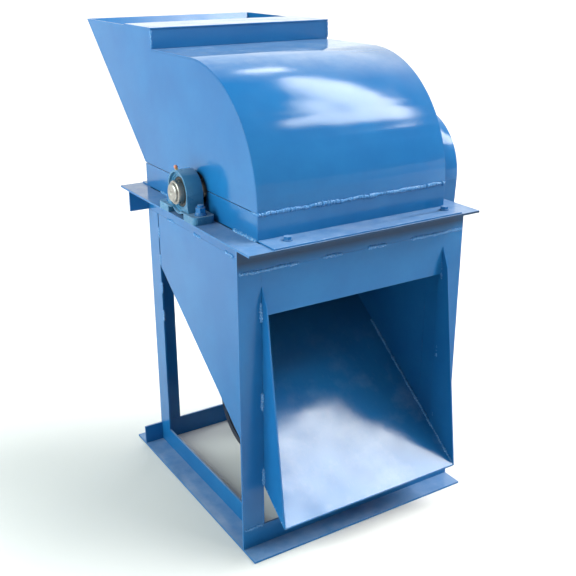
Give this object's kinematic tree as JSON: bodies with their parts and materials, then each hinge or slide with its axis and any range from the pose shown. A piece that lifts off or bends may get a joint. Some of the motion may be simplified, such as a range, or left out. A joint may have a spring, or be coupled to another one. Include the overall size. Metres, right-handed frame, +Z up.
{
  "type": "hammer mill",
  "caption": "Hammer mill on an angle-iron stand: swing-hammer rotor over a half-round bar grate, hinged feed hopper hood, sloping chute and guarded belt drive from a motor inside the stand",
  "frame": {"origin": "on the floor, below the rotor axis, midway between the two pillow blocks", "axes": "+X along the rotor shaft towards the pulleys, -Y towards the discharge chute, +Z up"},
  "size_m": [0.807, 1.18, 1.304],
  "materials": {
    "blue_enamel": "glossy blue enamel, worn at the edges",
    "grate_steel": "mild steel bar with light rust",
    "zinc_steel": "dull zinc plating",
    "bearing_iron": "cast iron, overpainted blue",
    "turned_steel": "turned steel, oiled",
    "forged_steel": "forged steel with scale",
    "pulley_iron": "machined cast iron",
    "belt_rubber": "wrapped V-belt rubber",
    "motor_paint": "satin dark grey-blue paint",
    "cowl_paint": "satin near-black navy paint",
    "fan_plastic": "moulded plastic"
  },
  "bodies": {
    "frame": {"base_front_rail": "blue_enamel", "base_rear_rail": "blue_enamel", "base_left_rail": "blue_enamel", "base_right_rail": "blue_enamel", "top_front_rail": "blue_enamel", "top_rear_rail": "blue_enamel", "top_left_rail": "blue_enamel", "top_right_rail": "blue_enamel", "leg_front_left": "blue_enamel", "leg_front_right": "blue_enamel", "leg_rear_left": "blue_enamel", "leg_rear_right": "blue_enamel", "body_side_left": "blue_enamel", "body_side_right": "blue_enamel", "body_front_panel": "blue_enamel", "body_rear_panel": "blue_enamel", "chute_floor": "blue_enamel", "chute_cheek_left": "blue_enamel", "chute_cheek_right": "blue_enamel", "grate_bars": "grate_steel", "grate_ribs": "grate_steel", "casing_strip_left": "blue_enamel", "casing_strip_right": "blue_enamel", "casing_strip_rear": "blue_enamel", "hinge_pins": "turned_steel", "bearing_housing_left": "bearing_iron", "bearing_housing_right": "bearing_iron", "bearing_bolts": "zinc_steel", "belt_guard_cover": "blue_enamel", "belt_guard_back": "blue_enamel", "motor_housing": "motor_paint", "motor_fan_cowl": "cowl_paint", "motor_rails": "blue_enamel", "motor_bolts": "zinc_steel", "v_belts": "belt_rubber"},
    "rotor": {"rotor_shaft": "turned_steel", "rotor_disc_1": "forged_steel", "rotor_disc_2": "forged_steel", "rotor_disc_3": "forged_steel", "hammer_pins": "turned_steel", "bearing_inner_rings": "turned_steel", "rotor_pulley": "pulley_iron"},
    "motor_rotor": {"motor_shaft": "turned_steel", "motor_pulley": "pulley_iron", "motor_fan": "fan_plastic"},
    "hood": {"hood_side_left": "blue_enamel", "hood_side_right": "blue_enamel", "hood_wrap": "blue_enamel", "hood_front_foot": "blue_enamel", "hopper_front_wall": "blue_enamel", "hopper_rear_wall": "blue_enamel", "hood_bolts": "zinc_steel"},
    "hammer_left_1": {"hammer_left_1": "forged_steel"},
    "hammer_left_2": {"hammer_left_2": "forged_steel"},
    "hammer_left_3": {"hammer_left_3": "forged_steel"},
    "hammer_left_4": {"hammer_left_4": "forged_steel"},
    "hammer_right_1": {"hammer_right_1": "forged_steel"},
    "hammer_right_2": {"hammer_right_2": "forged_steel"},
    "hammer_right_3": {"hammer_right_3": "forged_steel"},
    "hammer_right_4": {"hammer_right_4": "forged_steel"}
  },
  "joints": [
    {"name": "rotor_spin", "type": "hinge", "parent": "frame", "child": "rotor", "pos_m": [0, 0, 0.9135], "axis": [1, 0, 0], "continuous": true},
    {"name": "motor_spin", "type": "hinge", "parent": "frame", "child": "motor_rotor", "pos_m": [0.15, 0.028, 0.214], "axis": [1, 0, 0], "continuous": true},
    {"name": "hood_open", "type": "hinge", "parent": "frame", "child": "hood", "pos_m": [0, 0.36, 0.905], "axis": [-1, 0, 0], "range_deg": [0, 70]},
    {"name": "hammer_swing_left_1", "type": "hinge", "parent": "rotor", "child": "hammer_left_1", "pos_m": [-0.1225, 0.10607, 1.01957], "axis": [1, 0, 0], "range_deg": [-15, 285]},
    {"name": "hammer_swing_left_2", "type": "hinge", "parent": "rotor", "child": "hammer_left_2", "pos_m": [-0.1225, -0.10607, 1.01957], "axis": [1, 0, 0], "range_deg": [-285, 15]},
    {"name": "hammer_swing_left_3", "type": "hinge", "parent": "rotor", "child": "hammer_left_3", "pos_m": [-0.1225, -0.10607, 0.80743], "axis": [1, 0, 0], "range_deg": [-195, 105]},
    {"name": "hammer_swing_left_4", "type": "hinge", "parent": "rotor", "child": "hammer_left_4", "pos_m": [-0.1225, 0.10607, 0.80743], "axis": [1, 0, 0], "range_deg": [-105, 195]},
    {"name": "hammer_swing_right_1", "type": "hinge", "parent": "rotor", "child": "hammer_right_1", "pos_m": [0.1225, 0.10607, 1.01957], "axis": [1, 0, 0], "range_deg": [-15, 285]},
    {"name": "hammer_swing_right_2", "type": "hinge", "parent": "rotor", "child": "hammer_right_2", "pos_m": [0.1225, -0.10607, 1.01957], "axis": [1, 0, 0], "range_deg": [-285, 15]},
    {"name": "hammer_swing_right_3", "type": "hinge", "parent": "rotor", "child": "hammer_right_3", "pos_m": [0.1225, -0.10607, 0.80743], "axis": [1, 0, 0], "range_deg": [-195, 105]},
    {"name": "hammer_swing_right_4", "type": "hinge", "parent": "rotor", "child": "hammer_right_4", "pos_m": [0.1225, 0.10607, 0.80743], "axis": [1, 0, 0], "range_deg": [-105, 195]}
  ],
  "couplings": [
    {"joint": "motor_spin", "follows": "rotor_spin", "ratio": 0.66667}
  ]
}
